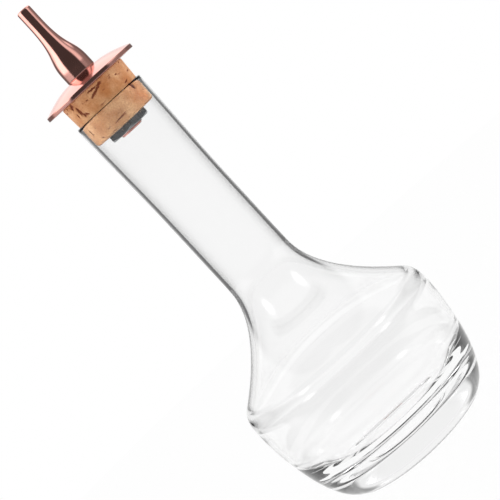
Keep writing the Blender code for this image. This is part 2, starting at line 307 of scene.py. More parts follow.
def moved_in(outside):
    """Points of the outside, each moved in by the wall there along its own normal."""
    points = np.array(outside)
    runs = np.diff(points, axis=0)
    runs /= np.linalg.norm(runs, axis=1)[:, None]
    tangents = np.vstack((runs[:1], runs[:-1] + runs[1:], runs[-1:]))
    tangents /= np.linalg.norm(tangents, axis=1)[:, None]
    inward = np.column_stack((-tangents[:, 1], tangents[:, 0]))
    heights = (SIDE_TOP, SHOULDER_HEIGHT, NECK_START)
    walls = np.interp(points[:, 1], heights, (SIDE_WALL, SHOULDER_WALL, NECK_WALL))
    return [tuple(point) for point in points + inward * walls[:, None]]


def inner_corner(side, upper):
    """The bend inside the shoulder, smooth at both ends."""
    start, end = np.array(side[-1]), np.array(upper[0])
    leaving = start - np.array(side[-2])
    arriving = np.array(upper[1]) - end
    reach = INNER_CORNER_SHARE * np.linalg.norm(end - start)
    leave = start + leaving * reach / np.linalg.norm(leaving)
    arrive = end - arriving * reach / np.linalg.norm(arriving)
    return bezier(start, leave, arrive, end)[:-1]


side = [point for point in moved_in(heel()) if BOWL_TOP < point[1] < SIDE_TOP - INNER_CORNER_DROP]
upper = moved_in(shoulder_sweep() + neck())
bottle_inside = side + inner_corner(side, upper) + upper
inside_radii, inside_heights = zip(*bottle_inside)


def bore_radius(height):
    """Inside radius of the bottle at a height."""
    return float(np.interp(height, inside_heights, inside_radii))


print("the neck is", round(2 * bore_radius(NECK_WAIST_HEIGHT) / MM, 1), "mm wide inside")

# %% [markdown]
# The base is where the glass gathers while the bottle is blown, so it is thick, with a bowl for a
# floor. Under it is the punt, a hollow that lets the bottle stand on a ring. The lip is melted
# round in a flame, and its inner edge stays longer and softer than the outer one.

# %% Floor, lip and punt
FLOOR_HEIGHT = 8.7 * MM
FLOOR_RADIUS = 11.5 * MM
BOWL_SHARES = (0.6, 0.6)
LIP_FLARE = 1.15 * MM
PUNT_RADIUS = 16.8 * MM
PUNT_DEPTH = 2.4 * MM
PUNT_SHARES = (0.5, 0.5, 0.5)
FLOOR_STEPS = 8
BOWL_STEPS = 32
LIP_STEPS = 16

lip_inner = (bore_radius(LIP_HEIGHT - LIP_FLARE), LIP_HEIGHT - LIP_FLARE)


def bowl():
    """The thick base's inside: a level floor that curves up into the side."""
    middle, edge = (0, FLOOR_HEIGHT), (FLOOR_RADIUS, FLOOR_HEIGHT)
    rim = (bore_radius(BOWL_TOP), BOWL_TOP)
    leave = (edge[0] + BOWL_SHARES[0] * (rim[0] - edge[0]), FLOOR_HEIGHT)
    arrive = (rim[0], BOWL_TOP - BOWL_SHARES[1] * (BOWL_TOP - FLOOR_HEIGHT))
    return [middle] + stretch(middle, edge, FLOOR_STEPS) + bezier(edge, leave, arrive, rim, BOWL_STEPS)


def lip():
    """The rim: it opens out of the bore over a long soft edge, and is rounded over outside."""
    crown = (LIP_RADIUS - LIP_CROWN, LIP_HEIGHT)
    outer = (LIP_RADIUS, LIP_HEIGHT - LIP_CROWN)
    return upright_quarter(lip_inner, crown, LIP_STEPS) + quarter(crown, outer)[:-1]


def punt():
    """The hollow under the base, from the foot ring in to the axis."""
    leave = (PUNT_RADIUS - PUNT_SHARES[0] * PUNT_RADIUS, PUNT_SHARES[1] * PUNT_DEPTH)
    arrive = (PUNT_SHARES[2] * PUNT_RADIUS, PUNT_DEPTH)
    return [(PUNT_RADIUS, 0)] + bezier((PUNT_RADIUS, 0), leave, arrive, (0, PUNT_DEPTH))


print("the middle of the base is", round((FLOOR_HEIGHT - PUNT_DEPTH) / MM, 1), "mm thick")

# %% The glass mesh
BOTTLE_SIDES = 288

below_lip = [point for point in bottle_inside if point[1] < lip_inner[1]] + [lip_inner]
glass_outline = bowl() + below_lip + lip() + bottle_outside[::-1] + punt()
bottle = spin("glass_bottle_blown", glass_outline, BOTTLE_SIDES, closed=False)

# %% [markdown]
# ## Soda-lime glass
# Soda-lime glass bends light by 1.52 and lets nearly all of it through. A slightly dark base
# colour would dim the light at each face that it crosses, and a ray crosses four here, so the
# colour stays white. Blown glass is never quite even: a very low bump in waves of about 14 mm
# makes the reflections swim. The foot ring is rubbed dull by the shelf, so roughness rises there
# alone, in the lowest 0.1 mm.

# %% Glass material
GLASS_WAVE = 14 * MM
SCUFF_HEIGHT = 0.1 * MM

soda_lime_glass, tree = blank_material("soda_lime_glass_blown")
place = add(tree, "ShaderNodeTexCoord").outputs["Object"]
height = add(tree, "ShaderNodeSeparateXYZ", {"Vector": place}).outputs["Z"]
waves = add(tree, "ShaderNodeTexNoise", {"Vector": place, "Scale": 1 / GLASS_WAVE, "Detail": 1.0})
swim = add(tree, "ShaderNodeBump", {"Strength": 0.15, "Distance": 0.1 * MM, "Height": waves.outputs["Fac"]})
scuffs = add(tree, "ShaderNodeMapRange", {
    "Value": height, "From Min": 0.0, "From Max": SCUFF_HEIGHT, "To Min": 0.25, "To Max": 0.0})
glass = add(tree, "ShaderNodeBsdfPrincipled", {
    "Base Color": linear("#ffffff"),
    "Transmission Weight": 1.0,
    "IOR": 1.52,
    "Roughness": scuffs.outputs["Result"],
    "Normal": swim.outputs["Normal"],
})
add(tree, "ShaderNodeOutputMaterial", {"Surface": glass.outputs["BSDF"]})
dress(bottle, soda_lime_glass, "bottle", "glass_bottle")

# %% [markdown]
# ## The cork
# Natural cork is bark. A stopper is punched along the trunk, so the yearly growth rings run up it
# as faint lines on two of its sides, and the bark's breathing channels, the lenticels, cross it as
# dark red-brown streaks. The deepest ones open at the surface as pits. They are carved into the
# mesh here, because a pit that is only painted goes flat as soon as light grazes it. Each vertex
# keeps how deep it was carved in a mesh attribute, so the material can paint the same places
# darker: the channel's own dark colour, with painted shade that deepens with the carving.

# %% Outline of the cork
cork_low, cork_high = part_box("cork_stopper")
flange_low, flange_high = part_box("domed_flange")
CLOSE_FIT = 0.02 * MM
CORK_TOP = flange_low.z - CLOSE_FIT
CORK_TOP_RADIUS = cork_high.x
CORK_TOP_EDGE = 0.4 * MM
CORK_END_EDGE = 1.0 * MM
STEM_HOLE_RADIUS = 4.05 * MM
SQUEEZE_GAP = 0.05 * MM
CORK_STEP = 0.14 * MM
CORK_EDGE_STEPS = 4


def steps_for(length):
    """How many steps a run of the cork's outline needs, so that its pits come out crisp."""
    return max(2, round(length / CORK_STEP))


lip_radius = lip_inner[0] - SQUEEZE_GAP
end_radius = bore_radius(cork_low.z) - SQUEEZE_GAP
cork_top = (CORK_TOP_RADIUS - CORK_TOP_EDGE, CORK_TOP)
cork_shoulder = (CORK_TOP_RADIUS, CORK_TOP - CORK_TOP_EDGE)
cork_seat = (lip_radius, lip_inner[1])
cork_edge = (end_radius, cork_low.z + CORK_END_EDGE)
cork_end = (end_radius - CORK_END_EDGE, cork_low.z)
cork_outline = [(STEM_HOLE_RADIUS, CORK_TOP)]
cork_outline += stretch(cork_outline[0], cork_top, steps_for(cork_top[0] - STEM_HOLE_RADIUS))
cork_outline += quarter(cork_top, cork_shoulder, CORK_EDGE_STEPS)
cork_outline += stretch(cork_shoulder, cork_seat, steps_for(cork_shoulder[1] - cork_seat[1]))
cork_outline += stretch(cork_seat, cork_edge, steps_for(cork_seat[1] - cork_edge[1]))
cork_outline += upright_quarter(cork_edge, cork_end)
cork_outline += stretch(cork_end, (STEM_HOLE_RADIUS, cork_low.z), steps_for(end_radius - STEM_HOLE_RADIUS))
print("outline of the cork:", len(cork_outline), "points")

# %% [markdown]
# Each pit is a soft-edged ellipse on the cork's side. It is given by its turn from the front in
# degrees, its height above the cork's end, its half width and half height, its depth, all in
# millimetres, and how much it climbs to the right. Cracks are the same thing, made narrow. Two
# waves of unlike length run along a pit and make its edge ragged.

# %% Pits in the cork
FRONT = math.radians(-90)
PITS = (
    (0, 12.1, 2.8, 0.34, 0.4, 0.35), (-5, 13.0, 1.7, 0.3, 0.4, -0.05), (-7, 11.6, 1.4, 0.36, 0.4, 0.3),
    (8, 13.0, 1.0, 0.32, 0.35, 0.15), (-50, 13.0, 0.9, 0.8, 0.4, 0.5), (-44, 10.6, 0.6, 1.6, 0.5, 0.2),
    (-53, 10.2, 0.3, 0.9, 0.35, 0.0), (-36, 8.9, 0.7, 0.4, 0.35, -0.4), (-41, 9.2, 0.4, 0.7, 0.4, 0.3),
    (46, 8.3, 0.9, 0.22, 0.4, 0.2), (47, 6.3, 0.55, 1.1, 0.5, 0.0), (-1, 2.1, 2.6, 0.15, 0.35, 0.12),
    (-56, 4.2, 0.25, 1.3, 0.3, 0.0), (-44, 1.3, 0.6, 0.2, 0.3, -0.3), (-62, 13.5, 0.3, 0.3, 0.3, 0.0),
    (62, 13.5, 0.4, 0.3, 0.35, 0.0), (39, 11.6, 0.5, 0.2, 0.3, 0.2), (-21, 11.7, 0.5, 0.16, 0.3, 0.1),
    (70, 10.2, 0.8, 0.25, 0.35, 0.2), (95, 9.4, 0.5, 0.4, 0.5, 0.0), (120, 12.2, 0.6, 0.3, 0.4, 0.0),
    (141, 8.2, 2.0, 0.25, 0.45, -0.2), (163, 11.4, 1.4, 0.3, 0.5, 0.2), (178, 9.6, 0.7, 0.25, 0.3, 0.0),
    (-171, 5.2, 2.2, 0.2, 0.3, 0.1), (-150, 12.4, 0.3, 1.2, 0.4, 0.0), (-128, 9.0, 1.7, 0.28, 0.5, -0.1),
    (-104, 11.8, 0.5, 0.4, 0.4, 0.0), (-88, 7.0, 0.6, 0.3, 0.4, 0.0), (-75, 12.6, 0.9, 0.2, 0.3, 0.0),
)
RAG_SIZES = (0.25, 0.2)
RAG_WAVES = (55, 131)
RAG_SHIFTS = (7, 9)
PIT_STEEPNESS = 0.7


def on_side(radius):
    """One on the cork's side, and less on its lower end the nearer a point lies to the stem."""
    return np.clip((radius - cork_end[0]) / (end_radius - cork_end[0]), 0, 1)


def pit_depths(radius, height, turn):
    """How far each point of the cork's side is carved in."""
    depths = np.zeros_like(radius)
    for degrees, level, half_width, half_height, depth, climb in PITS:
        away = (turn - FRONT - math.radians(degrees) + math.pi) % (2 * math.pi) - math.pi
        across = away * CORK_TOP_RADIUS
        along = height - cork_low.z - level * MM - climb * across
        ragged = RAG_SIZES[0] * np.sin(away * RAG_WAVES[0] + level * RAG_SHIFTS[0])
        ragged = ragged + RAG_SIZES[1] * np.sin(away * RAG_WAVES[1] + height / MM * RAG_SHIFTS[1])
        reach = (across / (half_width * MM)) ** 2 + (along / (half_height * MM) + ragged) ** 2
        depths = np.maximum(depths, depth * MM * np.clip(1 - reach, 0, 1) ** PIT_STEEPNESS)
    return depths * on_side(radius)


print(len(PITS), "pits and cracks")

# %% The cork mesh
HUMP = 5 * MM
HUMP_RISE = 0.05 * MM
CORK_SIDES = 480


def cork_shape(radius, height, turn):
    """Low humps all over the cork's side, and the pits, all of them inwards."""
    humps = np.array([
        noise.noise(Vector((x, y, z)) / HUMP)
        for x, y, z in zip((radius * np.cos(turn)).flat, (radius * np.sin(turn)).flat, height.flat)
    ]).reshape(radius.shape)
    return radius - on_side(radius) * HUMP_RISE * (1 + humps) / 2 - pit_depths(radius, height, turn)


cork = spin("cork_carved", cork_outline, CORK_SIDES, closed=True, shape=cork_shape)

# %% [markdown]
# Merging has lost the order of the mesh's points, so how deep each one lies is found again from
# its own place, and stored as an attribute that the material reads by name. Points that lie
# further in than any pit belong to the ends and to the stem's hole, and stay at nought.

# %% Depth attribute
# at this depth a pit is darkest: its own colour with the most painted shade
DARKEST_DEPTH = 0.5 * MM
PIT_LIMIT = 1.2 * MM

places = np.array([point.co for point in cork.data.vertices])
turns = np.arctan2(places[:, 1], places[:, 0])
uncarved = np.interp(places[:, 2], (cork_low.z, cork_edge[1], cork_seat[1], CORK_TOP),
                     (cork_end[0], end_radius, lip_radius, CORK_TOP_RADIUS))
carved = pit_depths(uncarved, places[:, 2], turns) / DARKEST_DEPTH
carved[np.hypot(places[:, 0], places[:, 1]) < uncarved - PIT_LIMIT] = 0
depth = cork.data.attributes.new("carved", "FLOAT", "POINT")
depth.data.foreach_set("value", np.clip(carved, 0, 1).astype(np.float32))
print("points in pits:", int((carved > 0).sum()))

# %% [markdown]
# ## Natural cork
# Cork is a dry, matt foam of tiny air cells, so it has no clear highlight: roughness is high and
# a little sheen stands for the torn cell walls. The cells are 0.04 mm wide, too fine to show in
# the picture, so the grain is drawn about ten times as coarse. The colour goes from straw to
# tan in soft clouds, and the grain darkens it in specks.

# %% Cork colour
CORK_CLOUD = 5 * MM
CORK_GRAIN = 0.45 * MM

natural_cork, tree = blank_material("natural_cork_punched")
place = add(tree, "ShaderNodeTexCoord").outputs["Object"]
clouds = add(tree, "ShaderNodeTexNoise", {"Vector": place, "Scale": 1 / CORK_CLOUD, "Detail": 3.0})
grain = add(tree, "ShaderNodeTexNoise", {"Vector": place, "Scale": 1 / CORK_GRAIN, "Detail": 2.0})
cloudy = add(tree, "ShaderNodeValToRGB", {"Fac": clouds.outputs["Fac"]})
cloudy.color_ramp.elements[0].color = linear("#b97a48")
cloudy.color_ramp.elements[0].position = 0.32
cloudy.color_ramp.elements[1].color = linear("#dcb083")
cloudy.color_ramp.elements[1].position = 0.68
specks = add(tree, "ShaderNodeMapRange", {
    "Value": grain.outputs["Fac"], "From Min": 0.35, "From Max": 0.75, "To Min": 0.0, "To Max": 0.45})
speckled = add(tree, "ShaderNodeMix", {
    "Factor": specks.outputs["Result"],
    "A": cloudy.outputs["Color"],
    "B": linear("#9c5f38"),
}, data_type="RGBA")
print("clouds", CORK_CLOUD / MM, "mm, grain", CORK_GRAIN / MM, "mm")

# %% [markdown]
# The growth rings are broad faint bands, one a year. A Wave texture repeats each 2 pi / 20 of its
# place, so its scale is worked out from that and the width of a ring. The lenticels are a noise
# pulled out long in one direction, of which only the peaks show. The carved pits are darkest: their
# own dark colour, with painted shade that grows with the depth of the carving.

# %% Rings, lenticels and pits
GROWTH_RING = 5.2 * MM
WAVE_RATE = 20
LENTICEL_LENGTH = 6 * MM
LENTICEL_WIDTH = 0.9 * MM

rings = add(tree, "ShaderNodeTexWave", {
    "Vector": place,
    "Scale": 2 * math.pi / (WAVE_RATE * GROWTH_RING),
    "Distortion": 3.0,
    "Detail": 2.0,
}, wave_type="BANDS", bands_direction="Y")
across_bark = add(tree, "ShaderNodeMapping", {"Vector": place, "Scale": (
    1 / LENTICEL_LENGTH, 1 / LENTICEL_WIDTH, 1 / LENTICEL_WIDTH)})
channels = add(tree, "ShaderNodeTexNoise", {
    "Vector": across_bark.outputs["Vector"], "Scale": 1.0, "Detail": 3.0})
pits = add(tree, "ShaderNodeAttribute", attribute_name="carved")
banded = add(tree, "ShaderNodeMapRange", {
    "Value": rings.outputs["Fac"], "From Min": 0.7, "From Max": 1.0, "To Min": 0.0, "To Max": 0.3})
streaked = add(tree, "ShaderNodeMapRange", {
    "Value": channels.outputs["Fac"], "From Min": 0.64, "From Max": 0.74, "To Min": 0.0, "To Max": 0.8})
# pits: the lenticels' own dark red-brown, with painted shade that deepens with the carving
pit_colour_and_shade = add(tree, "ShaderNodeMapRange", {
    "Value": pits.outputs["Fac"], "From Min": 0.0, "From Max": 0.45, "To Min": 0.0, "To Max": 0.9})
coloured = speckled
for share, colour in ((banded, "#a8683f"), (streaked, "#84452a"), (pit_colour_and_shade, "#78371f")):
    coloured = add(tree, "ShaderNodeMix", {
        "Factor": share.outputs["Result"],
        "A": coloured.outputs["Result"],
        "B": linear(colour),
    }, data_type="RGBA")
print("lenticels", LENTICEL_LENGTH / MM, "by", LENTICEL_WIDTH / MM, "mm")

# %% Cork surface
torn = add(tree, "ShaderNodeBump", {
    "Strength": 0.35, "Distance": 0.12 * MM, "Height": grain.outputs["Fac"]})
torn = add(tree, "ShaderNodeBump", {
    "Strength": 0.5,
    "Distance": 0.15 * MM,
    "Height": streaked.outputs["Result"],
    "Normal": torn.outputs["Normal"],
}, invert=True)
matt = add(tree, "ShaderNodeBsdfPrincipled", {
    "Base Color": coloured.outputs["Result"],
    "Roughness": 0.85,
    "Specular IOR Level": 0.3,
    "Sheen Weight": 0.15,
    "Normal": torn.outputs["Normal"],
})
add(tree, "ShaderNodeOutputMaterial", {"Surface": matt.outputs["BSDF"]})
dress(cork, natural_cork, "stopper", "cork_stopper")

# %% [markdown]
# ## The flange
# The flange is a thin disc that spreads the spout's push over the cork. It is turned with a
# flat underside, a rounded rim and a low dome, then copper plated with the spout and polished.

# %% Flange
FLANGE_RADIUS = flange_high.x
FLANGE_RIM = 1.25 * MM
FLANGE_LAND_RADIUS = 5.2 * MM
RIM_TOP_EDGE = 0.2 * MM
RIM_FOOT_EDGE = 0.08 * MM
DOME_SHARES = (0.3, 0.3, 0.5)
LAND_STEPS = 6
DOME_STEPS = 40
RIM_STEPS = 3
RIM_EDGE_STEPS = 10
UNDERSIDE_STEPS = 12
METAL_SIDES = 256

bottom, top = flange_low.z, flange_high.z
land_start, land_end = (STEM_HOLE_RADIUS, top), (FLANGE_LAND_RADIUS, top)
dome_end = (FLANGE_RADIUS - RIM_TOP_EDGE, bottom + FLANGE_RIM)
dome_run = dome_end[0] - FLANGE_LAND_RADIUS
dome_rise = top - dome_end[1]
dome_leave = (FLANGE_LAND_RADIUS + DOME_SHARES[0] * dome_run, top)
dome_arrive = (dome_end[0] - DOME_SHARES[1] * dome_run, dome_end[1] + DOME_SHARES[2] * dome_rise)
rim_top = (FLANGE_RADIUS, bottom + FLANGE_RIM - RIM_TOP_EDGE)
rim_foot = (FLANGE_RADIUS, bottom + RIM_FOOT_EDGE)
rim_end = (FLANGE_RADIUS - RIM_FOOT_EDGE, bottom)
flange_outline = [land_start] + stretch(land_start, land_end, LAND_STEPS)
flange_outline += bezier(land_end, dome_leave, dome_arrive, dome_end, DOME_STEPS)
flange_outline += quarter(dome_end, rim_top, RIM_EDGE_STEPS) + stretch(rim_top, rim_foot, RIM_STEPS)
flange_outline += upright_quarter(rim_foot, rim_end, RIM_EDGE_STEPS)
flange_outline += stretch(rim_end, (STEM_HOLE_RADIUS, bottom), UNDERSIDE_STEPS)
flange = spin("flange_turned", flange_outline, METAL_SIDES, closed=True)

# %% [markdown]
# ## The spout
# The spout is one turned piece. Its nozzle is drilled narrow, so it lets only a dash through, and
# swells into a bulb that stands on the flange. From there a hollow stem goes down through flange
# and cork. Its end is threaded for the nut: the thread is cut into the mesh as a groove that
# climbs one pitch in each turn, which a spun outline alone can't do.

# %% Outside of the spout
spout_low, spout_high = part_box("dash_spout")
SPOUT_FOOT = flange_high.z + CLOSE_FIT
NOZZLE_RADIUS = 2.2 * MM
NOZZLE_BORE_RADIUS = 1.2 * MM
NOZZLE_LENGTH = 5.0 * MM
TIP_EDGE = 0.65 * MM
BULB_RADIUS = 4.7 * MM
BULB_LENGTH = 2.6 * MM
BULB_EDGE = 0.2 * MM
BULB_SHARES = (0.66, 0.40)
NOZZLE_STEPS = 10
BULB_STEPS = 48
BULB_SIDE_STEPS = 6

tip = (NOZZLE_RADIUS - TIP_EDGE, spout_high.z)
tip_inner = (NOZZLE_BORE_RADIUS, spout_high.z - (tip[0] - NOZZLE_BORE_RADIUS))
tip_outer = (NOZZLE_RADIUS, spout_high.z - TIP_EDGE)
flare_top = (NOZZLE_RADIUS, spout_high.z - NOZZLE_LENGTH)
bulb_top = (BULB_RADIUS, SPOUT_FOOT + BULB_LENGTH)
bulb_rise = flare_top[1] - bulb_top[1]
bulb_leave = (flare_top[0], flare_top[1] - BULB_SHARES[0] * bulb_rise)
bulb_arrive = (bulb_top[0], bulb_top[1] + BULB_SHARES[1] * bulb_rise)
bulb_edge = (BULB_RADIUS, SPOUT_FOOT + BULB_EDGE)
bulb_foot = (BULB_RADIUS - BULB_EDGE, SPOUT_FOOT)
spout_outline = upright_quarter(tip_inner, tip, NOZZLE_STEPS) + quarter(tip, tip_outer, NOZZLE_STEPS)
spout_outline += stretch(tip_outer, flare_top, NOZZLE_STEPS)
spout_outline += bezier(flare_top, bulb_leave, bulb_arrive, bulb_top, BULB_STEPS)
spout_outline += stretch(bulb_top, bulb_edge, BULB_SIDE_STEPS)
spout_outline += upright_quarter(bulb_edge, bulb_foot, BULB_SIDE_STEPS)
print("outside of the spout:", len(spout_outline), "points")

# %% Stem and bore
STEM_RADIUS = 3.75 * MM
STEM_BORE_RADIUS = 2.5 * MM
STEM_CHAMFER = 0.4 * MM
BORE_TAPER_START = 3.0 * MM
BORE_TAPER_END = 14.0 * MM
THREAD_LENGTH = 4 * MM
THREAD_STEPS = 80
CHAMFER_STEPS = 6
TAPER_STEPS = 16

stem_end = spout_low.z
thread_top = (STEM_RADIUS, stem_end + THREAD_LENGTH)
thread_end = (STEM_RADIUS, stem_end + STEM_CHAMFER)
chamfer_end = (STEM_RADIUS - STEM_CHAMFER, stem_end)
taper_start = (STEM_BORE_RADIUS, SPOUT_FOOT + BORE_TAPER_START)
taper_end = (NOZZLE_BORE_RADIUS, SPOUT_FOOT + BORE_TAPER_END)
taper_middle = (taper_start[1] + taper_end[1]) / 2
taper_leave, taper_arrive = (STEM_BORE_RADIUS, taper_middle), (NOZZLE_BORE_RADIUS, taper_middle)
spout_outline += [(STEM_RADIUS, SPOUT_FOOT), thread_top]
spout_outline += stretch(thread_top, thread_end, THREAD_STEPS)
spout_outline += stretch(thread_end, chamfer_end, CHAMFER_STEPS)
spout_outline += [(STEM_BORE_RADIUS, stem_end), taper_start]
spout_outline += bezier(taper_start, taper_leave, taper_arrive, taper_end, TAPER_STEPS) + [tip_inner]
print("the whole spout:", len(spout_outline), "points")

# %% Thread
THREAD_PITCH = 0.5 * MM
THREAD_DEPTH = 0.22 * MM
THREAD_SHARE = 0.95
CHAMFER_SHARE = 0.9
THREAD_MARGIN = 0.01 * MM


def thread(radius, height, turn):
    """Cuts a V thread into the outside of the stem's end, and leaves the rest of the spout."""
    climb = (height / THREAD_PITCH - turn / (2 * math.pi)) % 1
    groove = 1 - np.abs(2 * climb - 1)
    cut = radius > STEM_RADIUS - STEM_CHAMFER * CHAMFER_SHARE
    cut &= radius < STEM_RADIUS + THREAD_MARGIN
    cut &= height < stem_end + THREAD_LENGTH * THREAD_SHARE
    return np.where(cut, radius - THREAD_DEPTH * groove, radius)


spout = spin("spout_turned", spout_outline, METAL_SIDES, closed=True, shape=thread)

# %% [markdown]
# ## Copper plate
# The metal is brass with a bright copper plating. Copper takes its colour in the reflection
# itself, so the base colour is a pale orange pink and metallic is one. Polishing on the lathe
# leaves rings of fine scratches, 0.05 mm apart on the real part. That is too fine to show, so they
# are drawn at 0.25 mm. Handling leaves faint brown clouds where the copper has begun to tarnish.

# %% Copper material
POLISH_LINE = 0.25 * MM
TARNISH_CLOUD = 7 * MM

copper_plate, tree = blank_material("copper_plate_polished")
place = add(tree, "ShaderNodeTexCoord").outputs["Object"]
across, deep, high = add(tree, "ShaderNodeSeparateXYZ", {"Vector": place}).outputs
flat = add(tree, "ShaderNodeCombineXYZ", {"X": across, "Y": deep})
from_axis = add(tree, "ShaderNodeVectorMath", {0: flat.outputs["Vector"]}, operation="LENGTH")
ring_place = add(tree, "ShaderNodeCombineXYZ", {"X": from_axis.outputs["Value"], "Z": high})
polish = add(tree, "ShaderNodeTexNoise", {
    "Vector": ring_place.outputs["Vector"], "Scale": 1 / POLISH_LINE, "Detail": 2.0})
tarnish = add(tree, "ShaderNodeTexNoise", {"Vector": place, "Scale": 1 / TARNISH_CLOUD, "Detail": 4.0})
browned = add(tree, "ShaderNodeMapRange", {
    "Value": tarnish.outputs["Fac"], "From Min": 0.5, "From Max": 0.75, "To Min": 0.0, "To Max": 0.35})
plated = add(tree, "ShaderNodeMix", {
    "Factor": browned.outputs["Result"],
    "A": linear("#f6b6aa"),
    "B": linear("#dc8f7a"),
}, data_type="RGBA")
gloss = add(tree, "ShaderNodeMapRange", {
    "Value": tarnish.outputs["Fac"], "From Min": 0.35, "From Max": 0.75, "To Min": 0.07, "To Max": 0.16})
lines = add(tree, "ShaderNodeBump", {
    "Strength": 0.05, "Distance": 0.02 * MM, "Height": polish.outputs["Fac"]})
shine = add(tree, "ShaderNodeBsdfPrincipled", {
    "Base Color": plated.outputs["Result"],
    "Metallic": 1.0,
    "Roughness": gloss.outputs["Result"],
    "Normal": lines.outputs["Normal"],
})
add(tree, "ShaderNodeOutputMaterial", {"Surface": shine.outputs["BSDF"]})
dress(flange, copper_plate, "stopper", "domed_flange")
dress(spout, copper_plate, "stopper", "dash_spout")

# %% [markdown]
# ## The nut
# A thin hex nut holds the cork from below. It is a slice of hexagonal bar whose corners were
# turned off at both ends, and that turning is what draws the curved edge on each flat. Seen
# from above, a hexagon is only a radius that changes with the turn, so the same spinning
# helper makes it: each point takes the smaller of the hexagon's radius and the cone's.

# %% Nut
nut_low, nut_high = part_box("hex_nut")
NUT_ACROSS_FLATS = 12.5 * MM
NUT_CHAMFER_START = 6.0 * MM
NUT_CHAMFER_SLOPE = math.radians(30)
NUT_TOP_CHAMFER_SHARE = 1 / 3
NUT_TURN = math.radians(31)
NUT_BLANK_RADIUS = 7.3 * MM
NUT_FACE_STEPS = 4
NUT_CHAMFER_STEPS = 24
NUT_FLAT_STEPS = 6
NUT_SIDES = 360
CORNER_BLEND = 0.05 * MM
FACE_MARGIN = 0.1 * MM
SHARP_ANGLE = math.radians(20)

blank_drop = (NUT_BLANK_RADIUS - NUT_CHAMFER_START) * math.tan(NUT_CHAMFER_SLOPE)
nut_top = cork_low.z - CLOSE_FIT
upper_corner = (NUT_BLANK_RADIUS, nut_top - blank_drop * NUT_TOP_CHAMFER_SHARE)
lower_corner = (NUT_BLANK_RADIUS, nut_low.z + blank_drop)
nut_outline = [(STEM_HOLE_RADIUS, nut_top)]
for corner, steps in (
    ((NUT_CHAMFER_START, nut_top), NUT_FACE_STEPS),
    (upper_corner, NUT_CHAMFER_STEPS),
    (lower_corner, NUT_FLAT_STEPS),
    ((NUT_CHAMFER_START, nut_low.z), NUT_CHAMFER_STEPS),
    ((STEM_HOLE_RADIUS, nut_low.z), NUT_FACE_STEPS),
):
    nut_outline += stretch(nut_outline[-1], corner, steps)


def hexagon(radius, height, turn):
    """Cuts a turned blank to a hexagonal bar, with slightly broken corners."""
    sixth = math.pi / 3
    away = (turn - NUT_TURN) % sixth - sixth / 2
    bar = NUT_ACROSS_FLATS / 2 / np.cos(away)
    blended = (radius + bar - np.sqrt((radius - bar) ** 2 + CORNER_BLEND ** 2)) / 2
    return np.where(radius > NUT_CHAMFER_START + FACE_MARGIN, blended, radius)


nut = spin("hex_nut_turned", nut_outline, NUT_SIDES, closed=True, shape=hexagon)
nut.data.set_sharp_from_angle(angle=SHARP_ANGLE)
print("the packed nut is", round((nut_high.z - nut_low.z) / MM, 2), "mm thick")
print("with its gap closed it is", round((nut_top - nut_low.z) / MM, 2), "mm")

# %% [markdown]
# ## Phosphated steel
# The nut is mild steel with the dull grey coat of a phosphate bath. It is far greyer than the
# copper, with a roughness near 0.3. Its flats keep fine lines from the drawing die under that
# coat, along the bar. The real ones lie too close to show, so they are drawn 0.2 mm apart.

# %% Steel material
DRAWN_LINE = 0.2 * MM
LINE_STRETCH = 12

phosphated_steel, tree = blank_material("mild_steel_phosphated")
place = add(tree, "ShaderNodeTexCoord").outputs["Object"]
stretched = add(tree, "ShaderNodeMapping", {"Vector": place, "Scale": (
    1 / DRAWN_LINE, 1 / DRAWN_LINE, 1 / (LINE_STRETCH * DRAWN_LINE))})
drawn = add(tree, "ShaderNodeTexNoise", {
    "Vector": stretched.outputs["Vector"], "Scale": 1.0, "Detail": 2.0})
grey = add(tree, "ShaderNodeMix", {
    "Factor": drawn.outputs["Fac"],
    "A": linear("#6c6e70"),
    "B": linear("#8b8d8e"),
}, data_type="RGBA")
dull = add(tree, "ShaderNodeMapRange", {
    "Value": drawn.outputs["Fac"], "From Min": 0.3, "From Max": 0.7, "To Min": 0.24, "To Max": 0.36})
scored = add(tree, "ShaderNodeBump", {
    "Strength": 0.15, "Distance": 0.02 * MM, "Height": drawn.outputs["Fac"]})
steel = add(tree, "ShaderNodeBsdfPrincipled", {
    "Base Color": grey.outputs["Result"],
    "Metallic": 1.0,
    "Roughness": dull.outputs["Result"],
    "Normal": scored.outputs["Normal"],
})
add(tree, "ShaderNodeOutputMaterial", {"Surface": steel.outputs["BSDF"]})
dress(nut, phosphated_steel, "stopper", "hex_nut")

# %% [markdown]
# ## Floor
# The floor is a disc of white paper, as bright as the background, so most of its light is its own.
# A small part is diffuse, and that part still takes the bottle's soft shadow. In the studio the
# paper ends just in front of the bottle. Only mirrored rays notice that, so the Light Path node
# gives them a darker grey there.

# %% Floor
FLOOR_DISC = 400 * MM
FLOOR_SIDES = 96
PAPER_GLOW = 0.96
PAPER_GREY = 0.98
FRONT_GREY = 0.3
FRONT_EDGE = 55 * MM

paper = bmesh.new()
bmesh.ops.create_circle(paper, cap_ends=True, segments=FLOOR_SIDES, radius=FLOOR_DISC)
floor_mesh = bpy.data.meshes.new("floor")
paper.to_mesh(floor_mesh)
paper.free()
floor = bpy.data.objects.new("floor", floor_mesh)
bpy.context.scene.collection.objects.link(floor)
print("the floor is", 2 * FLOOR_DISC, "metres across")

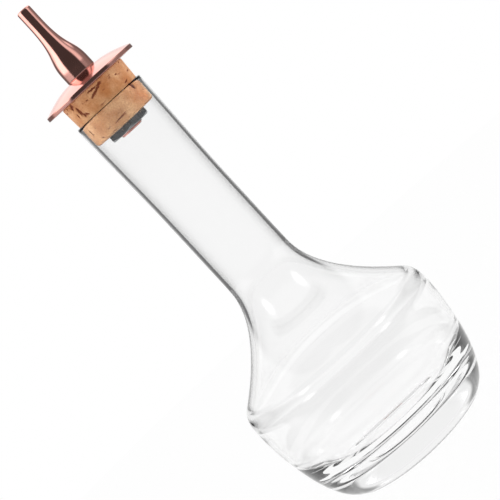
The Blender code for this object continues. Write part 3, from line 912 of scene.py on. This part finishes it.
# %% Paper
white_paper, tree = blank_material("white_paper")
place = add(tree, "ShaderNodeTexCoord").outputs["Object"]
deep = add(tree, "ShaderNodeSeparateXYZ", {"Vector": place}).outputs["Y"]
path = add(tree, "ShaderNodeLightPath")
mirrored_paper = add(tree, "ShaderNodeMapRange", {
    "Value": deep, "From Min": -2 * FRONT_EDGE, "From Max": -FRONT_EDGE,
    "To Min": FRONT_GREY, "To Max": PAPER_GREY})
is_mirrored = add(tree, "ShaderNodeMath", {
    0: path.outputs["Glossy Depth"], 1: 0.5}, operation="GREATER_THAN")
lying = add(tree, "ShaderNodeMix", {
    "Factor": is_mirrored.outputs["Value"],
    "A": PAPER_GREY,
    "B": mirrored_paper.outputs["Result"],
}, data_type="FLOAT")
seen = add(tree, "ShaderNodeMix", {
    "Factor": path.outputs["Is Camera Ray"], "A": lying.outputs["Result"], "B": 1.0}, data_type="FLOAT")
matt = add(tree, "ShaderNodeBsdfDiffuse", {"Color": linear("#fafafa")})
glow = add(tree, "ShaderNodeEmission", {"Color": linear("#ffffff"), "Strength": seen.outputs["Result"]})
both = add(tree, "ShaderNodeMixShader", {
    0: PAPER_GLOW, 1: matt.outputs["BSDF"], 2: glow.outputs["Emission"]})
add(tree, "ShaderNodeOutputMaterial", {"Surface": both.outputs["Shader"]})
floor.data.materials.append(white_paper)
print("the paper's own light is", PAPER_GLOW, "of it")

# %% [markdown]
# ## The studio around the bottle
# Glass has no look of its own. It shows what stands around it, bent and mirrored. So the world is
# a small studio, painted in greys that depend on the way a ray leaves. Cards and lamps could be
# objects too, but painted ones can be shown to the copper and hidden from the glass.
#
# A painted grey is a first grey with layers over it. A layer covers more and more of what is below
# as its value rises past a soft edge, a pair of marks. These values place the layers:
# - `across` tells how far a ray goes to the right, and `up` how steeply it climbs;
# - `front` tells how far it points to the camera's side;
# - `lean` is front and up at once. It is lowest in the white sweep of paper straight behind the
#   bottle, which widens upwards.

# %% Ways of a ray
BACKDROP_LEAN = 0.6


def painted(first, *layers):
    """A grey with layers over it. A layer is its value, its soft edge and its own grey."""
    for value, (low, high), grey in layers:
        share = add(tree, "ShaderNodeMapRange", {
            "Value": value, "From Min": low, "From Max": high}, interpolation_type="SMOOTHSTEP")
        cover = add(tree, "ShaderNodeMix", {
            "Factor": share.outputs["Result"], "A": first, "B": grey}, data_type="FLOAT")
        first = cover.outputs["Result"]
    return first


world = bpy.data.worlds.new("studio")
bpy.context.scene.world = world
world.use_nodes = True
tree = world.node_tree
tree.nodes.clear()
toward = add(tree, "ShaderNodeTexCoord").outputs["Generated"]
across, deep, up = add(tree, "ShaderNodeSeparateXYZ", {"Vector": toward}).outputs
level = add(tree, "ShaderNodeCombineXYZ", {"X": across, "Y": deep})
level = add(tree, "ShaderNodeVectorMath", {0: level.outputs["Vector"]}, operation="NORMALIZE")
facing = add(tree, "ShaderNodeVectorMath", {
    0: level.outputs["Vector"], 1: (0, -1, 0)}, operation="DOT_PRODUCT")
front = facing.outputs["Value"]
leaning = add(tree, "ShaderNodeMath", {0: up, 1: -BACKDROP_LEAN, 2: front}, operation="MULTIPLY_ADD")
lean = leaning.outputs["Value"]
print("a ray is placed by", across.name, deep.name, up.name)

# %% [markdown]
# ## What the copper mirrors
# The turned copper shows a light band at each side and a dark one down its middle. They are two
# white cards, the left one brighter, and between them the dark opening where the camera stands.
# The right card starts further forward. Behind the bottle it is dim, but for the white sweep and
# a light high up. The ceiling over all is dim again.

# %% Cards
LEFT_GREY, RIGHT_GREY = 0.57, 0.28
LEFT_CARD_GREY, RIGHT_CARD_GREY = 1.9, 1.0
RIGHT_CARD_SHIFT = 0.45
OPENING_GREY = 0.06
TABLE_GREY = 0.3
BEHIND_GREY = 0.18
BACKDROP_GREY = 0.99
HIGH_GREY = 1.3
CEILING_GREY = 0.3
MIDDLE = (-0.3, 0.3)
CARD_FOOT = (0.015, 0.06)
CARD_EDGE = (-0.55, -0.1)
OPENING_EDGE = (0.5, 0.68)
TABLE_EDGE = (-0.06, -0.03)
BEHIND_EDGE = (-0.6, -0.4)
CARD_BACKDROP_EDGE = (-1.02, -0.96)
HIGH_BACK_EDGE = (-0.3, 0.0)
HIGH_FOOT = (0.3, 0.45)
CEILING_FOOT = (0.75, 0.9)

right = painted(0.0, (across, MIDDLE, 1.0))
forward = add(tree, "ShaderNodeMath", {
    0: right, 1: -RIGHT_CARD_SHIFT, 2: front}, operation="MULTIPLY_ADD").outputs["Value"]
below_cards = painted(LEFT_GREY, (across, MIDDLE, RIGHT_GREY))
on_cards = painted(LEFT_CARD_GREY, (across, MIDDLE, RIGHT_CARD_GREY))
cards = painted(below_cards, (up, CARD_FOOT, painted(below_cards, (forward, CARD_EDGE, on_cards))))
cards = painted(cards, (front, OPENING_EDGE, OPENING_GREY))
cards = painted(TABLE_GREY, (up, TABLE_EDGE, cards))
cards = painted(BEHIND_GREY, (front, BEHIND_EDGE, cards))
high = painted(HIGH_GREY, (front, HIGH_BACK_EDGE, cards))
cards = painted(BACKDROP_GREY, (lean, CARD_BACKDROP_EDGE, cards))
cards = painted(cards, (up, HIGH_FOOT, high), (up, CEILING_FOOT, CEILING_GREY))
print("cards of", LEFT_CARD_GREY, "and", RIGHT_CARD_GREY, "with an opening of", OPENING_GREY)

# %% [markdown]
# ## What the glass mirrors
# The glass shows no cards, only calm greys that change little by little, so it mirrors a room of
# its own. That room is dim, but for the sweep behind the bottle. Where the sweep ends, the dark
# begins that draws the outline of the neck. For a ray that was thrown about inside the glass, a
# wide window lights the room high up, all around but for the part straight behind the bottle.

# %% Room
LOW_ROOM_GREY = 0.42
ROOM_GREY = 0.14
HIGH_ROOM_GREY = 0.3
SWEEP_GREY = 0.9
WINDOW_GREY = 0.7
ROOM_FOOT = (-0.05, 0.05)
HIGH_ROOM_FOOT = (0.4, 0.9)
ROOM_BACK = (-0.35, -0.1)
SWEEP_EDGE = (-0.95, -0.87)
WINDOW_FOOT = (0.45, 0.6)
WINDOW_EDGE = (-0.8, -0.65)

room = painted(LOW_ROOM_GREY, (up, ROOM_FOOT, ROOM_GREY), (up, HIGH_ROOM_FOOT, HIGH_ROOM_GREY))
room = painted(BEHIND_GREY, (front, ROOM_BACK, room))
room = painted(SWEEP_GREY, (lean, SWEEP_EDGE, room))
inner_room = painted(room, (up, WINDOW_FOOT, painted(room, (front, WINDOW_EDGE, WINDOW_GREY))))
print("a room of", ROOM_GREY, "with a sweep of", SWEEP_GREY)

# %% [markdown]
# ## Spots
# Two small lamps in front, left and right, leave white spots on the glass. They are painted like
# the rest, with no lamp object. A power of the cosine between a ray and the lamp is a soft round
# spot, and a higher power makes it smaller. Folding X over, so that left counts as right, makes
# two spots of one.

# %% Spots
SPOT_AZIMUTH = math.radians(60)
SPOT_ELEVATION = math.radians(34)
SPOT_SHARPNESS = 200.0
SPOT_LEVEL = 8.5

sideways = add(tree, "ShaderNodeMath", {0: across}, operation="ABSOLUTE").outputs["Value"]
folded = add(tree, "ShaderNodeCombineXYZ", {"X": sideways, "Y": deep, "Z": up})
spot_axis = (
    math.cos(SPOT_ELEVATION) * math.sin(SPOT_AZIMUTH),
    -math.cos(SPOT_ELEVATION) * math.cos(SPOT_AZIMUTH),
    math.sin(SPOT_ELEVATION),
)
near_spot = add(tree, "ShaderNodeVectorMath", {
    0: folded.outputs["Vector"], 1: spot_axis}, operation="DOT_PRODUCT").outputs["Value"]
near_spot = add(tree, "ShaderNodeMath", {0: near_spot, 1: 0.0}, operation="MAXIMUM").outputs["Value"]
spots = add(tree, "ShaderNodeMath", {0: near_spot, 1: SPOT_SHARPNESS}, operation="POWER").outputs["Value"]
room, inner_room = [
    add(tree, "ShaderNodeMath", {0: spots, 1: SPOT_LEVEL, 2: dim}, operation="MULTIPLY_ADD").outputs["Value"]
    for dim in (room, inner_room)
]
print("two spots at", round(math.degrees(SPOT_ELEVATION)), "degrees up")

# %% [markdown]
# ## Which ray sees what
# The Light Path node tells how a ray came here. A ray straight from the camera sees pure white. One
# that went straight through the glass sees the backdrop, which is whitest just below the horizon.
# One that was thrown about in the glass wall has a glossy depth, and it sees the inner room. Glass
# is perfectly smooth, so its mirrored rays are singular. Polished copper isn't quite smooth, so
# its rays aren't, and they see the cards. A diffuse ray comes from the cork or the paper, and
# finds more light at the sides than in front and behind. The part of the cork in the neck gets
# its light through glass, so there the light is raised.
#
# All of these are whole numbers. So a soft edge between nought and one is a switch.

# %% Light paths
HIGH_BACKDROP_GREY = 0.88
BACKDROP_GLOW = 0.03
GLOW_FOOT = (-0.16, -0.1)
GLOW_TOP = (-0.03, 0.03)
HIGH_BACKDROP_FOOT = (-0.02, 0.2)
CORK_LIGHT_IN_FRONT = 0.1
CORK_LIGHT_RISE = 2.95
NECK_GAIN = 2.35
YES = (0.4, 0.6)

path = add(tree, "ShaderNodeLightPath").outputs
glow = painted(0.0, (up, GLOW_FOOT, BACKDROP_GLOW), (up, GLOW_TOP, 0.0))
backdrop = painted(BACKDROP_GREY, (up, HIGH_BACKDROP_FOOT, HIGH_BACKDROP_GREY))
backdrop = add(tree, "ShaderNodeMath", {0: glow, 1: backdrop}, operation="ADD").outputs["Value"]
through = painted(backdrop, (path["Glossy Depth"], YES, inner_room))
mirrored = painted(cards, (path["Is Singular Ray"], YES, room))
squared = add(tree, "ShaderNodeMath", {0: across, 1: across}, operation="MULTIPLY").outputs["Value"]
cork_light = add(tree, "ShaderNodeMath", {
    0: squared, 1: CORK_LIGHT_RISE, 2: CORK_LIGHT_IN_FRONT}, operation="MULTIPLY_ADD").outputs["Value"]
gain = painted(1.0, (path["Is Transmission Ray"], YES, NECK_GAIN))
cork_light = add(tree, "ShaderNodeMath", {
    0: cork_light, 1: gain}, operation="MULTIPLY").outputs["Value"]
seen = painted(
    mirrored,
    (path["Is Transmission Ray"], YES, through),
    (path["Diffuse Depth"], YES, cork_light),
    (path["Is Camera Ray"], YES, 1.0),
)
sky = add(tree, "ShaderNodeBackground", {"Color": linear("#ffffff"), "Strength": seen})
add(tree, "ShaderNodeOutputWorld", {"Surface": sky.outputs["Background"]})
print("the studio has", len(tree.nodes), "nodes")

# %% [markdown]
# ## Last setting
# The view transform is set to Standard, the plain sRGB curve. The dressed bottle has to stay
# inside the imported model's box.

# %% View transform
bpy.context.scene.view_settings.view_transform = "Standard"
